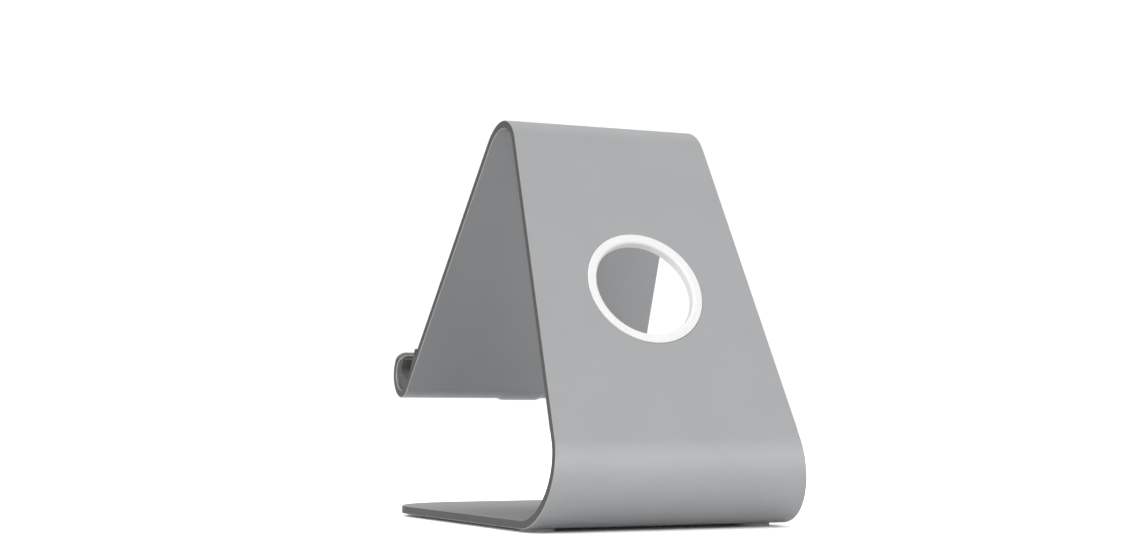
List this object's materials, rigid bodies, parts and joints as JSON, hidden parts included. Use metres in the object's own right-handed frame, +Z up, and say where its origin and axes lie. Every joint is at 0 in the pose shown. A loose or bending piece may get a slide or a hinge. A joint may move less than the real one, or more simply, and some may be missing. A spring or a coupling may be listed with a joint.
{
  "type": "tablet stand",
  "caption": "One-piece bent aluminium desk stand for a tablet, with a leaning A-shaped back, a round ringed cable hole, a padded front hook and rubber feet.",
  "frame": {"origin": "on the desk, under the middle of the stand's length and width, at the level of the undersides of the feet", "axes": "+Z up from the desk; +Y towards the rear bend, away from the tablet; +X across the width, to the right of a person facing the tablet"},
  "size_m": [0.1234, 0.1999, 0.1779],
  "materials": {
    "anodised_aluminium": "bead-blasted satin, clear grey anodised",
    "white_ring": "smooth satin white moulded",
    "foot_rubber": "matt light grey",
    "pad_silicone": "matt warm dark grey silicone",
    "adhesive_film": "translucent grey adhesive film"
  },
  "bodies": {
    "root": {"stand_body": "anodised_aluminium", "cable_grommet": "white_ring", "rest_pad": "pad_silicone", "cradle_pad_left": "pad_silicone", "cradle_pad_right": "pad_silicone", "foot_front_left": "foot_rubber", "foot_front_right": "foot_rubber", "foot_rear_left": "foot_rubber", "foot_rear_right": "foot_rubber", "rest_film": "adhesive_film", "cradle_film_left": "adhesive_film", "cradle_film_right": "adhesive_film", "foot_film_front_left": "adhesive_film", "foot_film_front_right": "adhesive_film", "foot_film_rear_left": "adhesive_film", "foot_film_rear_right": "adhesive_film"}
  },
  "joints": []
}
